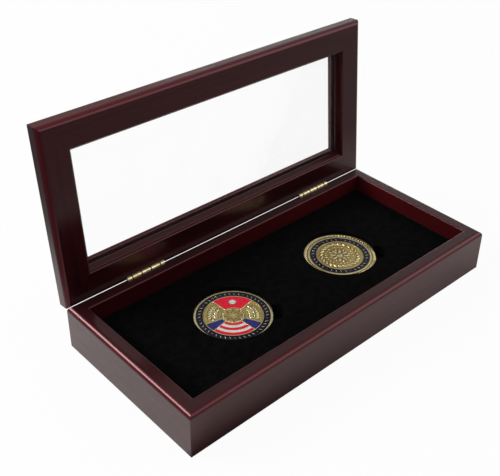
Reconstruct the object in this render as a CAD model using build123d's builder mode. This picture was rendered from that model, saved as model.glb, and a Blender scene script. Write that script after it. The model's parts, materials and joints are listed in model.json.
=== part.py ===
from build123d import *
import os
from math import cos, radians, sin, tan

os.makedirs("parts", exist_ok=True)

# A hinged wooden display case with a glazed lid and a velvet insert that holds two coins.
# Millimetres. X runs along the case to the right, Y runs from the front to the hinge side,
# Z is up, and the origin is the middle of the underside of the base.
# The lid is modelled open, as it rests on its hinge stop.

# ---- driving dimensions -------------------------------------------------------------------

# case and base box
case_length = 228.6
case_depth = 104.8
base_height = 27.5
wall = 8.6
edge_round = 3.0          # round-over on the outer edges that face the seam
small_ease = 0.5          # eased edges of the lacquered wood
panel_thickness = 3.0
felt_thickness = 1.0
panel_seat = 4.3          # how far the panel's rebate reaches into a rail
panel_slack = 0.3         # play of the panel in its rebate

# lid
seam = 0.3                # gap between the base and the closed lid
lid_thickness = 8.7
lid_rail = 16.2           # width of a lid rail on its inner face
lip_reach = 4.7           # lip of a lid rail that the glass lies against
lip_thickness = 2.0
glass_thickness = 2.0
glass_slack = 0.5
bead_drop = 1.2           # top of a glazing bead below the lid's inner face
bead_reach = 3.9
bead_toe = 0.6
open_angle = 95.0

# hinges
pin_inset = 1.6           # pin axis in front of the back faces
knuckle_radius = 1.3
pin_radius = 0.7
pin_clearance = 0.05      # radial, in the knuckles that turn on the pin
hinge_length = 25.4
knuckles_per_hinge = 4
knuckle_gap = 0.2
barrel_clearance = 0.35   # wood to knuckle, and leaf to the other leaf's knuckles
leaf_thickness = 0.8
base_leaf_depth = 9.0
lid_leaf_depth = 6.4
slot_clearance = 0.05
left_hinge_inset = 50.3   # middle of each hinge from its end of the case
right_hinge_inset = 44.5

# insert
velvet_drop = 10.1        # velvet below the rim of the base
velvet_thickness = 0.8    # velvet left below a pocket, on the board
insert_slack = 0.3
pocket_depth = 5.3
pocket_clearance = 0.4
pocket_ease = 0.5         # eased rims of the pockets and outer edge of the insert
notch_radius = 6.3
notch_reach = 22.3        # middle of the thumb notch from the middle of its coin
notch_angle = -40.0

# coins
coin_radius = 22.0
coin_thickness = 3.0
coin_spacing = 85.6
coin_float = 0.3          # coin above the floor of its pocket
strike_depth = 0.5        # how deep the cells for the enamel are struck
field_depth = 0.35        # how deep the plain fields are struck
enamel_drop = 0.1         # enamel below the metal lines round it
line_width = 0.5          # metal line between two cells

# left coin, with its enamel cells round a medallion
left_rim_width = 1.4
left_ring_width = 3.7     # navy enamel ring
medallion_radius = 6.2
star_points = 8
star_tip = 5.2
star_waist = 2.3          # radius at which two points of the star meet
red_cell_turn = 52.0      # direction of the middle of the red cell; the stripes lie opposite
red_cell_sweep = 84.0
stripe_cell_sweep = 84.0
blue_cell_sweep = 24.0
stripe_count = 5
stripe_line = 0.2         # metal line between two stripes
badge_sides = 8
badge_radius = 1.8        # white cell in the middle of the red one

# right coin, with a rosette in a wreath
right_rim_width = 3.8
right_ring_width = 3.7    # navy enamel ring
relief_height = 0.3
boss_radius = 1.7
petal_count = 8
petal_length = 4.4
petal_width = 2.5
petal_reach = 4.3         # middle of a petal from the middle of the coin
leaf_count = 24
leaf_length = 3.8
leaf_width = 1.5
leaf_reach = 11.2
leaf_slant = 55.0

# ---- values worked out from them ----------------------------------------------------------

floor_level = felt_thickness + panel_thickness
rim_level = base_height
lid_level = base_height + seam          # inner face of the closed lid
velvet_level = rim_level - velvet_drop
pocket_floor = velvet_level - pocket_depth
board_level = pocket_floor - velvet_thickness
coin_bottom = pocket_floor + coin_float
coin_top = coin_bottom + coin_thickness
glass_depth = lid_thickness - lip_thickness - glass_thickness   # from the lid's inner face

pin_y = case_depth / 2 - pin_inset
pin_z = base_height + seam / 2
hinge_middles = {
    "left": -case_length / 2 + left_hinge_inset,
    "right": case_length / 2 - right_hinge_inset,
}
coin_middles = {"left": (-coin_spacing / 2, 0), "right": (coin_spacing / 2, 0)}

to_pin = Location((0, pin_y, pin_z))
open_turn = to_pin * Location((0, 0, 0), (-open_angle, 0, 0)) * to_pin.inverse()


def opened(plane):
    """The plane of a piece of the closed lid, turned with the lid to where it rests open."""
    return Plane(open_turn * plane.location)


def side_planes(level):
    """A profile plane at the outer lower corner of each side: x runs inwards, z along it."""
    half_x, half_y = case_length / 2, case_depth / 2
    return {
        "front": Plane((-half_x, -half_y, level), x_dir=(0, 1, 0), z_dir=(1, 0, 0)),
        "right": Plane((half_x, -half_y, level), x_dir=(-1, 0, 0), z_dir=(0, 1, 0)),
        "back": Plane((half_x, half_y, level), x_dir=(0, -1, 0), z_dir=(-1, 0, 0)),
        "left": Plane((-half_x, half_y, level), x_dir=(1, 0, 0), z_dir=(0, -1, 0)),
    }


def mitred(profile, plane, side):
    """A profile run along one side of the case, with both ends cut at 45 degrees."""
    length = case_length if side in ("front", "back") else case_depth
    far_end = plane.origin + plane.z_dir * length
    with BuildPart() as piece:
        with BuildSketch(plane):
            add(profile)
        extrude(amount=length)
        split(bisect_by=Plane(plane.origin, z_dir=plane.z_dir - plane.x_dir), keep=Keep.TOP)
        split(bisect_by=Plane(far_end, z_dir=-plane.z_dir - plane.x_dir), keep=Keep.TOP)
    return piece.part


def corner(sketch, x, y):
    """The vertex of a sketch that is nearest to a point."""
    return sketch.vertices().sort_by_distance((x, y, 0))[0]


# ---- base box -----------------------------------------------------------------------------

with BuildSketch() as base_profile:
    Rectangle(wall, base_height, align=(Align.MIN, Align.MIN))
    with Locations((wall, 0)):
        Rectangle(panel_seat, floor_level, align=(Align.MAX, Align.MIN), mode=Mode.SUBTRACT)
    fillet(corner(base_profile, 0, base_height), edge_round)
    chamfer(corner(base_profile, wall, base_height), small_ease)
    chamfer(corner(base_profile, 0, 0), small_ease)


def hinge_plane(side, toward):
    """A plane across the pin axis at the middle of a hinge, with x towards toward in Y."""
    return Plane((hinge_middles[side], pin_y, pin_z), x_dir=(0, toward, 0), z_dir=(1, 0, 0))


def hinge_bed(plane, leaf_side, depth):
    """What is cut from a rail for a hinge: the slot of its leaf and the groove of the barrel."""
    with BuildPart() as bed:
        with BuildSketch(plane):
            with Locations((leaf_side * (knuckle_radius - leaf_thickness / 2), 0)):
                Rectangle(
                    leaf_thickness + 2 * slot_clearance,
                    depth + slot_clearance,
                    align=(Align.CENTER, Align.MAX),
                )
            Circle(knuckle_radius + barrel_clearance)
        extrude(amount=hinge_length / 2 + barrel_clearance, both=True)
    return bed.part


for side, plane in side_planes(0).items():
    with BuildPart() as base_rail:
        add(mitred(base_profile.sketch, plane, side))
        if side == "back":
            for hinge in hinge_middles:
                add(hinge_bed(hinge_plane(hinge, 1), -1, base_leaf_depth), mode=Mode.SUBTRACT)
    base_rail.part.label = f"base_{side}_rail"
    export_step(base_rail.part, f"parts/base_{side}_rail.step")

bottom_length = case_length - 2 * (wall - panel_seat + panel_slack)
bottom_depth = case_depth - 2 * (wall - panel_seat + panel_slack)

with BuildPart() as base_panel:
    with BuildSketch(Plane.XY.offset(felt_thickness)):
        Rectangle(bottom_length, bottom_depth)
    extrude(amount=panel_thickness)
base_panel.part.label = "base_panel"
export_step(base_panel.part, "parts/base_panel.step")

with BuildPart() as base_felt:
    with BuildSketch():
        Rectangle(bottom_length, bottom_depth)
    extrude(amount=felt_thickness)
base_felt.part.label = "base_felt"
export_step(base_felt.part, "parts/base_felt.step")

# ---- velvet insert ------------------------------------------------------------------------

insert_length = case_length - 2 * (wall + insert_slack)
insert_depth = case_depth - 2 * (wall + insert_slack)


with BuildPart() as insert_board:
    with BuildSketch(Plane.XY.offset(floor_level)):
        Rectangle(insert_length, insert_depth)
    extrude(amount=board_level - floor_level)
insert_board.part.label = "insert_board"
export_step(insert_board.part, "parts/insert_board.step")

with BuildPart() as velvet_cover:
    with BuildSketch(Plane.XY.offset(board_level)):
        Rectangle(insert_length, insert_depth)
    extrude(amount=velvet_level - board_level)
    with BuildSketch(Plane.XY.offset(velvet_level)):
        with Locations(*coin_middles.values()):
            Circle(coin_radius + pocket_clearance)
            with PolarLocations(notch_reach, 1, start_angle=notch_angle):
                Circle(notch_radius)
    extrude(amount=-pocket_depth, mode=Mode.SUBTRACT)
    chamfer(velvet_cover.faces().sort_by(Axis.Z)[-1].edges(), pocket_ease)
velvet_cover.part.label = "velvet_cover"
export_step(velvet_cover.part, "parts/velvet_cover.step")

# ---- lid ----------------------------------------------------------------------------------

rebate_depth = glass_depth + glass_thickness

with BuildSketch() as lid_profile:
    Rectangle(lid_rail + lip_reach, lid_thickness, align=(Align.MIN, Align.MIN))
    with Locations((lid_rail + lip_reach, 0)):
        Rectangle(lip_reach, rebate_depth, align=(Align.MAX, Align.MIN), mode=Mode.SUBTRACT)
    fillet(corner(lid_profile, 0, 0), edge_round)
    chamfer(corner(lid_profile, lid_rail, 0), small_ease)
    chamfer(corner(lid_profile, 0, lid_thickness), small_ease)
    chamfer(corner(lid_profile, lid_rail + lip_reach, lid_thickness), small_ease)

with BuildSketch() as bead_profile:
    with BuildLine():
        Polyline(
            (lid_rail, bead_drop),
            (lid_rail + bead_toe, bead_drop),
            (lid_rail + bead_reach, glass_depth - bead_toe),
            (lid_rail + bead_reach, glass_depth),
            (lid_rail, glass_depth),
            close=True,
        )
    make_face()

for side, plane in side_planes(lid_level).items():
    with BuildPart() as lid_piece:
        add(mitred(lid_profile.sketch, opened(plane), side))
        if side == "back":
            for hinge in hinge_middles:
                lid_hinge_plane = opened(hinge_plane(hinge, -1))
                add(hinge_bed(lid_hinge_plane, 1, lid_leaf_depth), mode=Mode.SUBTRACT)
    lid_piece.part.label = f"lid_{side}_rail"
    export_step(lid_piece.part, f"parts/lid_{side}_rail.step")

    with BuildPart() as glazing_bead:
        add(mitred(bead_profile.sketch, opened(plane), side))
    glazing_bead.part.label = f"glazing_bead_{side}"
    export_step(glazing_bead.part, f"parts/glazing_bead_{side}.step")

with BuildPart() as glass_pane:
    with BuildSketch(opened(Plane.XY.offset(lid_level + glass_depth))):
        Rectangle(
            case_length - 2 * (lid_rail + glass_slack),
            case_depth - 2 * (lid_rail + glass_slack),
        )
    extrude(amount=glass_thickness)
glass_pane.part.label = "glass_pane"
export_step(glass_pane.part, "parts/glass_pane.step")

# ---- hinges -------------------------------------------------------------------------------

knuckle_pitch = hinge_length / knuckles_per_hinge


def hinge_leaf(plane, leaf_side, depth, first_knuckle, bore_radius):
    """A leaf that runs from the pin axis along -y of the plane, with every other knuckle."""
    cleared = knuckle_radius + barrel_clearance
    with BuildPart() as leaf:
        with BuildSketch(plane):
            with Locations((leaf_side * (knuckle_radius - leaf_thickness / 2), 0)):
                Rectangle(leaf_thickness, depth, align=(Align.CENTER, Align.MAX))
        extrude(amount=hinge_length / 2, both=True)
        for place in range(knuckles_per_hinge):
            middle = (place + 0.5) * knuckle_pitch - hinge_length / 2
            own = place % 2 == first_knuckle
            with BuildSketch(plane.offset(middle)):
                if own:
                    Circle(knuckle_radius)
                else:
                    Rectangle(2 * cleared, 2 * cleared)
            if own:
                extrude(amount=(knuckle_pitch - knuckle_gap) / 2, both=True)
            else:
                extrude(amount=(knuckle_pitch + knuckle_gap) / 2, both=True, mode=Mode.SUBTRACT)
        with BuildSketch(plane):
            Circle(bore_radius)
        extrude(amount=hinge_length / 2, both=True, mode=Mode.SUBTRACT)
    return leaf.part


for hinge in hinge_middles:
    with BuildPart() as base_leaf:
        add(hinge_leaf(hinge_plane(hinge, 1), -1, base_leaf_depth, 0, pin_radius))
    base_leaf.part.label = f"hinge_{hinge}_base_leaf"
    export_step(base_leaf.part, f"parts/hinge_{hinge}_base_leaf.step")

    with BuildPart() as lid_leaf:
        lid_hinge_plane = opened(hinge_plane(hinge, -1))
        add(hinge_leaf(lid_hinge_plane, 1, lid_leaf_depth, 1, pin_radius + pin_clearance))
    lid_leaf.part.label = f"hinge_{hinge}_lid_leaf"
    export_step(lid_leaf.part, f"parts/hinge_{hinge}_lid_leaf.step")

    with BuildPart() as hinge_pin:
        with BuildSketch(hinge_plane(hinge, 1)):
            Circle(pin_radius)
        extrude(amount=hinge_length / 2, both=True)
    hinge_pin.part.label = f"hinge_{hinge}_pin"
    export_step(hinge_pin.part, f"parts/hinge_{hinge}_pin.step")

# ---- coins --------------------------------------------------------------------------------


def coin_plane(side, turn=0.0, depth=0.0):
    """A plane below a coin's top by depth, with x turned about the coin's middle."""
    x, y = coin_middles[side]
    x_dir = (cos(radians(turn)), sin(radians(turn)), 0)
    return Plane((x, y, coin_top - depth), x_dir=x_dir, z_dir=(0, 0, 1))


def ring_cell(inner, outer):
    """The outline of a round cell between two radii."""
    with BuildSketch() as outline:
        Circle(outer)
        Circle(inner, mode=Mode.SUBTRACT)
    return outline.sketch


def sector_cell(inner, outer, sweep):
    """A round cell cut down to a sweep about x, less half a line along each straight side."""
    half_turn = radians(sweep / 2)
    apex = line_width / 2 / sin(half_turn)
    reach = 2 * outer
    spread = (reach - apex) * tan(half_turn)
    with BuildSketch() as outline:
        add(ring_cell(inner, outer))
        with BuildLine():
            Polyline((apex, 0), (reach, -spread), (reach, spread), close=True)
        make_face(mode=Mode.INTERSECT)
    return outline.sketch


def blank(side):
    """A plain coin, before its face is struck."""
    with BuildPart() as disc:
        with BuildSketch(coin_plane(side, depth=coin_thickness)):
            Circle(coin_radius)
        extrude(amount=coin_thickness)
    return disc.part


left_ring_outer = coin_radius - left_rim_width
left_ring_inner = left_ring_outer - left_ring_width
cells_outer = left_ring_inner - line_width
cells_inner = medallion_radius + line_width
stripes_turn = red_cell_turn + 180
blue_offset = (stripe_cell_sweep + blue_cell_sweep) / 2
gold_sweep = (360 - red_cell_sweep - stripe_cell_sweep - 2 * blue_cell_sweep) / 2
gold_offset = (red_cell_sweep + gold_sweep) / 2
badge_reach = (cells_inner + cells_outer) / 2
stripe_pitch = (cells_outer - cells_inner + stripe_line) / stripe_count

badge_middle = Location((badge_reach, 0))
with BuildSketch() as red_cell:
    add(sector_cell(cells_inner, cells_outer, red_cell_sweep))
    with Locations(badge_middle):
        RegularPolygon(badge_radius + line_width, badge_sides, mode=Mode.SUBTRACT)

with BuildSketch() as badge_cell:
    with Locations(badge_middle):
        RegularPolygon(badge_radius, badge_sides)


def stripe(number):
    """The outline of one stripe, counted from the medallion outwards."""
    inner = cells_inner + number * stripe_pitch
    return sector_cell(inner, inner + stripe_pitch - stripe_line, stripe_cell_sweep)


# each colour's cells, as pairs of a turn about the coin's middle and an outline
blue_cell = sector_cell(cells_inner, cells_outer, blue_cell_sweep)
left_enamels = {
    "navy": [(0, ring_cell(left_ring_inner, left_ring_outer))],
    "red": [(red_cell_turn, red_cell.sketch)]
    + [(stripes_turn, stripe(number)) for number in range(0, stripe_count, 2)],
    "white": [(red_cell_turn, badge_cell.sketch)]
    + [(stripes_turn, stripe(number)) for number in range(1, stripe_count, 2)],
    "blue": [(stripes_turn + turn, blue_cell) for turn in (-blue_offset, blue_offset)],
}
right_ring_outer = coin_radius - right_rim_width
right_ring_inner = right_ring_outer - right_ring_width
right_field = right_ring_inner - line_width
right_enamels = {"navy": [(0, ring_cell(right_ring_inner, right_ring_outer))]}


def star_outline():
    """A star about the origin, its first point along x."""
    half_pitch = radians(180 / star_points)
    corners = []
    for number in range(2 * star_points):
        radius = star_waist if number % 2 else star_tip
        corners.append((radius * cos(number * half_pitch), radius * sin(number * half_pitch)))
    with BuildSketch() as outline:
        with BuildLine():
            Polyline(*corners, close=True)
        make_face()
    return outline.sketch


def leaf_outline(length, width):
    """A pointed leaf along x, with straight cut edges."""
    tip, shoulder, half_width = length / 2, length / 6, width / 2
    with BuildSketch() as outline:
        with BuildLine():
            Polyline((-tip, 0), (-shoulder, half_width), (shoulder, half_width), (tip, 0))
            mirror(about=Plane.XZ)
        make_face()
    return outline.sketch


with BuildPart() as left_coin:
    add(blank("left"))
    for cells in left_enamels.values():
        for turn, outline in cells:
            with BuildSketch(coin_plane("left", turn)):
                add(outline)
            extrude(amount=-strike_depth, mode=Mode.SUBTRACT)
    for turn in (red_cell_turn - gold_offset, red_cell_turn + gold_offset):
        with BuildSketch(coin_plane("left", turn)):
            add(sector_cell(cells_inner, cells_outer, gold_sweep))
        extrude(amount=-field_depth, mode=Mode.SUBTRACT)
    with BuildSketch(coin_plane("left", red_cell_turn)):
        Circle(medallion_radius)
        add(star_outline(), mode=Mode.SUBTRACT)
    extrude(amount=-field_depth, mode=Mode.SUBTRACT)
left_coin.part.label = "left_coin"
export_step(left_coin.part, "parts/left_coin.step")

with BuildPart() as right_coin:
    add(blank("right"))
    with BuildSketch(coin_plane("right")):
        add(ring_cell(right_ring_inner, right_ring_outer))
    extrude(amount=-strike_depth, mode=Mode.SUBTRACT)
    with BuildSketch(coin_plane("right")):
        Circle(right_field)
    extrude(amount=-field_depth, mode=Mode.SUBTRACT)
    with BuildSketch(coin_plane("right", depth=field_depth)):
        Circle(boss_radius)
        with PolarLocations(petal_reach, petal_count):
            add(leaf_outline(petal_length, petal_width))
        with PolarLocations(leaf_reach, leaf_count):
            add(leaf_outline(leaf_length, leaf_width), rotation=leaf_slant)
    extrude(amount=relief_height)
right_coin.part.label = "right_coin"
export_step(right_coin.part, "parts/right_coin.step")

for side, enamels in {"left": left_enamels, "right": right_enamels}.items():
    for colour, cells in enamels.items():
        with BuildPart() as enamel:
            for turn, outline in cells:
                with BuildSketch(coin_plane(side, turn, enamel_drop)):
                    add(outline)
                extrude(amount=-(strike_depth - enamel_drop))
        enamel.part.label = f"{side}_coin_{colour}_enamel"
        export_step(enamel.part, f"parts/{side}_coin_{colour}_enamel.step")
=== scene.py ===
import json
from math import cos, pi, radians, sin

import bmesh
import bpy
import numpy as np
from mathutils import Matrix, Vector


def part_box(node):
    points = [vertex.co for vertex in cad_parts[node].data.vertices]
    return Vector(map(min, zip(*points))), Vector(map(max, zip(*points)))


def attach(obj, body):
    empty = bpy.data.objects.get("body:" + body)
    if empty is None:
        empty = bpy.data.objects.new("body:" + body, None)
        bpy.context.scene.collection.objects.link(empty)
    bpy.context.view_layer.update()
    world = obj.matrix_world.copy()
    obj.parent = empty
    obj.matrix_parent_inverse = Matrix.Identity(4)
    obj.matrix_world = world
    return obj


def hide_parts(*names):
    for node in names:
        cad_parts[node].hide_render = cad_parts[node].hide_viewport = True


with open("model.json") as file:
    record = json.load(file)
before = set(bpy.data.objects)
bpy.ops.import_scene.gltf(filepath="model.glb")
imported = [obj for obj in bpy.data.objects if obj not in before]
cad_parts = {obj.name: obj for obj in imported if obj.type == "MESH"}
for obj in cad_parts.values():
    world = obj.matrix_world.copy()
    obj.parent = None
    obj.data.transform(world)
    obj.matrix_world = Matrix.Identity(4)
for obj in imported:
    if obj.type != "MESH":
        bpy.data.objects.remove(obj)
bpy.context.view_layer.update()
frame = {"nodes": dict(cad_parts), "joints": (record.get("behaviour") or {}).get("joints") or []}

# A hinged wooden coin case, open. Metres, in the case's own frame: X along the case to the
# right, Y from the front to the hinges, Z up, origin in the middle of the underside.

MM = 0.001

# ---- places worked out from the frame -------------------------------------------------------

base_low, base_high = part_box("base_front_rail")
wall = base_high.y - base_low.y
half_length = base_high.x
half_depth = -base_low.y
base_height = base_high.z
panel_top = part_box("base_panel")[1].z
panel_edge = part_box("base_panel")[1].x
hinge = next(joint for joint in frame["joints"] if joint["name"] == "lid_hinge")
pin = Vector(hinge["pos_m"])
OPEN = radians(hinge["range_deg"][1])       # the lid rests this far open
lid_opened = Matrix.Translation(pin) @ Matrix.Rotation(-OPEN, 4, "X") @ Matrix.Translation(-pin)
velvet_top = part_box("velvet_cover")[1].z
velvet_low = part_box("velvet_cover")[0]
coin_boxes = {side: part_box(f"{side}_coin") for side in ("left", "right")}
coin_middles = {side: (low + high) / 2 for side, (low, high) in coin_boxes.items()}
coin_radius = (coin_boxes["left"][1].x - coin_boxes["left"][0].x) / 2
coin_top = coin_boxes["left"][1].z
coin_thickness = coin_top - coin_boxes["left"][0].z

# sizes that the boxes don't give
EDGE_ROUND = 3.0 * MM
SMALL_EASE = 0.7 * MM
MITRE_EASE = 0.03 * MM
SEAM = 0.3 * MM
LID_THICKNESS = 8.7 * MM
LID_RAIL = 16.2 * MM
LIP_REACH = 4.7 * MM
LIP_THICKNESS = 2.0 * MM
BEAD_DROP = 1.2 * MM
LIP_SLANT = 1.1 * MM
LIP_EASE = 0.3 * MM
BEAD_REACH = 2.3 * MM
BEAD_TOE = 0.6 * MM
BEAD_ROUND = 0.3 * MM
BEAD_EASE = 0.2 * MM
GLASS_THICKNESS = 2.0 * MM
POCKET_RADIUS = coin_radius + 0.4 * MM
POCKET_DEPTH = 5.3 * MM
POCKET_ROUND = 0.5 * MM
VELVET_ROLL = 1.6 * MM
NOTCH_RADIUS = 6.3 * MM
NOTCH_REACH = 22.3 * MM
NOTCH_TURN = radians(-40)
KNUCKLE = 6.35 * MM
PANEL_SLACK = 0.3 * MM

lid_low = base_height + SEAM


# ---- modelling by hand ----------------------------------------------------------------------


def deselect_all():
    bpy.ops.object.select_all(action="DESELECT")


def make_active(piece):
    deselect_all()
    piece.select_set(True)
    bpy.context.view_layer.objects.active = piece


def settle(piece):
    """Puts the piece's place into its mesh, so that its object is at the origin, unturned."""
    make_active(piece)
    bpy.ops.object.transform_apply(location=True, rotation=True, scale=True)


def block(name, low, high):
    """A box primitive between two corners, to be shaped further."""
    deselect_all()
    low, high = Vector(low), Vector(high)
    bpy.ops.mesh.primitive_cube_add(size=1, location=(low + high) / 2, scale=high - low)
    piece = bpy.context.active_object
    piece.name = name
    settle(piece)
    return piece


def pick(piece, kind, wanted):
    """Selects the faces or edges whose middle and direction a test wants, in edit mode."""
    mesh = bmesh.from_edit_mesh(piece.data)
    for part in (mesh.verts, mesh.edges, mesh.faces):
        for item in part:
            item.select_set(False)
    if kind == "faces":
        for face in mesh.faces:
            if wanted(face.calc_center_median(), face.normal):
                face.select_set(True)
    else:
        for edge in mesh.edges:
            ends = [vert.co for vert in edge.verts]
            if wanted((ends[0] + ends[1]) / 2, (ends[1] - ends[0]).normalized()):
                edge.select_set(True)
    bmesh.update_edit_mesh(piece.data)


def cut_off(point, normal):
    """Cuts everything beyond a plane away and closes the cut."""
    bpy.ops.mesh.select_all(action="SELECT")
    bpy.ops.mesh.bisect(
        plane_co=point, plane_no=normal, use_fill=True, clear_outer=True, threshold=1e-7
    )


def near(value, target):
    return abs(value - target) < 0.02 * MM


# ---- finishes -------------------------------------------------------------------------------


class Wire:
    """An output of a node. Arithmetic on it adds Math nodes."""

    def __init__(self, nodes, socket):
        self.nodes = nodes
        self.socket = socket

    def maths(self, operation, other):
        return self.nodes.node("ShaderNodeMath", {"operation": operation}, (self, other))

    def size(self):
        return self.maths("ABSOLUTE", 0)

    def __add__(self, other):
        return self.maths("ADD", other)

    def __radd__(self, other):
        return self.maths("ADD", other)

    def __sub__(self, other):
        return self.maths("SUBTRACT", other)

    def __rsub__(self, other):
        return self.maths("MULTIPLY", -1).maths("ADD", other)

    def __mul__(self, other):
        return self.maths("MULTIPLY", other)

    def __rmul__(self, other):
        return self.maths("MULTIPLY", other)


class Nodes:
    """The node tree of a material or of the world."""

    def __init__(self, tree):
        self.tree = tree

    def node(self, kind, settings=None, values=(), output=0):
        """Adds a node: first its settings, then its sockets, by place or by name."""
        node = self.tree.nodes.new(kind)
        for key, value in (settings or {}).items():
            setattr(node, key, value)
        pairs = values.items() if isinstance(values, dict) else enumerate(values)
        for key, value in pairs:
            if isinstance(value, Wire):
                self.tree.links.new(value.socket, node.inputs[key])
            else:
                node.inputs[key].default_value = value
        return Wire(self, node.outputs[output])

    def mix(self, share, first, second):
        settings = {"data_type": "RGBA"}
        first = first if isinstance(first, Wire) else (*first, 1)
        second = second if isinstance(second, Wire) else (*second, 1)
        return self.node("ShaderNodeMix", settings, {0: share, 6: first, 7: second}, 2)

    def between(self, value, low, high, to_low=0.0, to_high=1.0):
        """A value's range from low to high, eased and set to another range."""
        settings = {"interpolation_type": "SMOOTHSTEP"}
        return self.node("ShaderNodeMapRange", settings, (value, low, high, to_low, to_high))

    def parts(self, vector):
        """The three parts of a vector."""
        split = self.node("ShaderNodeSeparateXYZ", None, (vector,)).socket.node
        return [Wire(self, output) for output in split.outputs]

    def lands_on(self, wire, name, socket):
        """Joins a wire to a socket of a node that the tree already has."""
        self.tree.links.new(wire.socket, self.tree.nodes[name].inputs[socket])


class Finish(Nodes):
    """A material, with its nodes built up from the surface's own coordinates."""

    def __init__(self, name, **constants):
        self.material = bpy.data.materials.new(name)
        self.material.use_nodes = True
        super().__init__(self.material.node_tree)
        self.shader = self.tree.nodes["Principled BSDF"]
        for socket, value in constants.items():
            self.shader.inputs[socket.replace("_", " ")].default_value = value

    def place(self, turn=(0, 0, 0), shift=(0, 0, 0)):
        """The surface's own place in millimetres, turned and shifted."""
        spot = self.node("ShaderNodeTexCoord", output="Object")
        scale = (1 / MM, 1 / MM, 1 / MM)
        values = {"Vector": spot, "Location": shift, "Rotation": turn, "Scale": scale}
        return self.node("ShaderNodeMapping", None, values)

    def stretched(self, spot, by):
        return self.node("ShaderNodeVectorMath", {"operation": "MULTIPLY"}, (spot, by))

    def noise(self, spot, scale, detail=2.0, roughness=0.5, distortion=0.0):
        values = {
            "Vector": spot,
            "Scale": scale,
            "Detail": detail,
            "Roughness": roughness,
            "Distortion": distortion,
        }
        return self.node("ShaderNodeTexNoise", None, values)

    def bump(self, height, strength, distance):
        values = {"Strength": strength, "Distance": distance, "Height": height}
        return self.node("ShaderNodeBump", None, values)

    def feed(self, **wires):
        """Joins wires to the shader's sockets and returns the finished material."""
        for socket, wire in wires.items():
            self.tree.links.new(wire.socket, self.shader.inputs[socket.replace("_", " ")])
        return self.material


def rosewood(name, turn, shift, reddening=None):
    """Dark rosewood stain under lacquer, with the grain along the turned X.

    The mask given in this argument says where the wood is painted redder, in part as painted light
    where the lamps fall on it.
    """
    finish = Finish(
        name,
        Specular_IOR_Level=0.5,
        Specular_Tint=(1.0, 0.06, 0.09, 1),
        Coat_Weight=1.0,
        Coat_Roughness=0.15,
        Coat_IOR=1.34,
    )
    spot = finish.place(turn, shift)
    ribbons = finish.noise(finish.stretched(spot, (0.012, 0.45, 0.45)), 1.0, 4.0, 0.6, 0.6)
    streaks = finish.noise(finish.stretched(spot, (0.05, 2.2, 2.2)), 1.0, 3.0, 0.55)
    pores = finish.noise(finish.stretched(spot, (0.25, 5.0, 5.0)), 1.0, 1.0)
    tone = finish.between(ribbons * 0.7 + streaks * 0.3, 0.32, 0.68)
    stain = finish.mix(tone, (0.003, 0.0013, 0.0015), (0.022, 0.0032, 0.0043))
    if reddening:
        # Redder wood where the mask says: in part painted light.
        stain = finish.mix(reddening(finish), stain, (0.085, 0.0070, 0.0090))
    rounded = finish.node("ShaderNodeAttribute", {"attribute_name": "rounded"}, output="Fac")
    # Redder on the rounded edges: partly stain rubbed thin, partly a painted highlight along them.
    stain = finish.mix(rounded * 0.65, stain, (0.08, 0.0040, 0.010))
    pitted = finish.between(pores, 0.62, 0.72)
    colour = finish.mix(pitted * 0.6, stain, (0.008, 0.002, 0.0025))
    roughness = finish.between(streaks, 0.3, 0.7, 0.34, 0.46)
    sway = finish.noise(spot, 0.09, 1.0)
    height = sway - pitted * 0.02 + streaks * 0.02
    normal = finish.bump(height, 0.25, 0.12 * MM)
    return finish.feed(Base_Color=colour, Roughness=roughness, Normal=normal)


def redder_base_painted_light(finish):
    """Redder wood on the base: on the walls inside most of all and on the faces below the rim, and
    more towards the right as painted light, lit on the right and shaded on the left.
    """
    x, y, z = finish.parts(finish.place())
    clear_x = x.size() - (half_length - wall) / MM
    clear_y = y.size() - (half_depth - wall) / MM
    inside = finish.between(clear_x.maths("MAXIMUM", clear_y), 0.4, 0.0)
    below_rim = finish.between(z, base_height / MM, base_height / MM - 0.5)
    # Painted light: the red grows towards the right, where the light falls, and gives painted shade on
    # the left.
    painted_light_rightwards = finish.between(x, -60, 100, 0.35, 1.0)
    return painted_light_rightwards * (inside * 0.5 + below_rim * 0.3)


def painted_light_on_lid_edge(finish):
    """Painted light on the long edge of the open lid that faces up: redder where the key light falls,
    most of all at the left.
    """
    x, _, z = finish.parts(finish.place())
    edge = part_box("lid_front_rail")[1].z / MM
    # Painted light: redder on the upward edge, strongest at the left.
    return finish.between(z, edge - 2.2, edge - 1.2) * finish.between(x, 90, -110, 0.15, 0.8)


def velvet():
    finish = Finish(
        "black velvet",
        Specular_IOR_Level=0.02,
        Sheen_Weight=0.025,
        Sheen_Roughness=0.4,
    )
    spot = finish.place()
    nap = finish.noise(spot, 0.22, 3.0, 0.55, 0.4)
    pile = finish.noise(spot, 3.2, 2.0, 0.7)
    lint = finish.noise(finish.stretched(spot, (1.0, 1.4, 1.0)), 1.9, 0.0)
    lying = finish.between(nap, 0.35, 0.65)
    shade = finish.mix(lying, (0.0016, 0.0017, 0.0017), (0.0032, 0.0032, 0.0034))
    speck = finish.between(lint, 0.79, 0.84)
    colour = finish.mix(speck * 0.5, shade, (0.05, 0.05, 0.055))
    roughness = finish.between(pile, 0.2, 0.8, 0.85, 1.0)
    normal = finish.bump(pile, 0.3, 0.12 * MM)
    return finish.feed(Base_Color=colour, Roughness=roughness, Normal=normal)


def felt():
    finish = Finish("black felt", Specular_IOR_Level=0.1, Sheen_Weight=0.1)
    spot = finish.place()
    fibres = finish.noise(finish.stretched(spot, (1.0, 1.6, 1.0)), 2.4, 3.0, 0.7, 1.5)
    blotches = finish.noise(spot, 0.15, 2.0)
    mixed = finish.between(fibres * 0.7 + blotches * 0.3, 0.35, 0.65)
    colour = finish.mix(mixed, (0.006, 0.006, 0.0065), (0.017, 0.017, 0.018))
    roughness = finish.between(fibres, 0.2, 0.8, 0.88, 1.0)
    normal = finish.bump(fibres, 1.0, 0.3 * MM)
    return finish.feed(Base_Color=colour, Roughness=roughness, Normal=normal)


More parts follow.
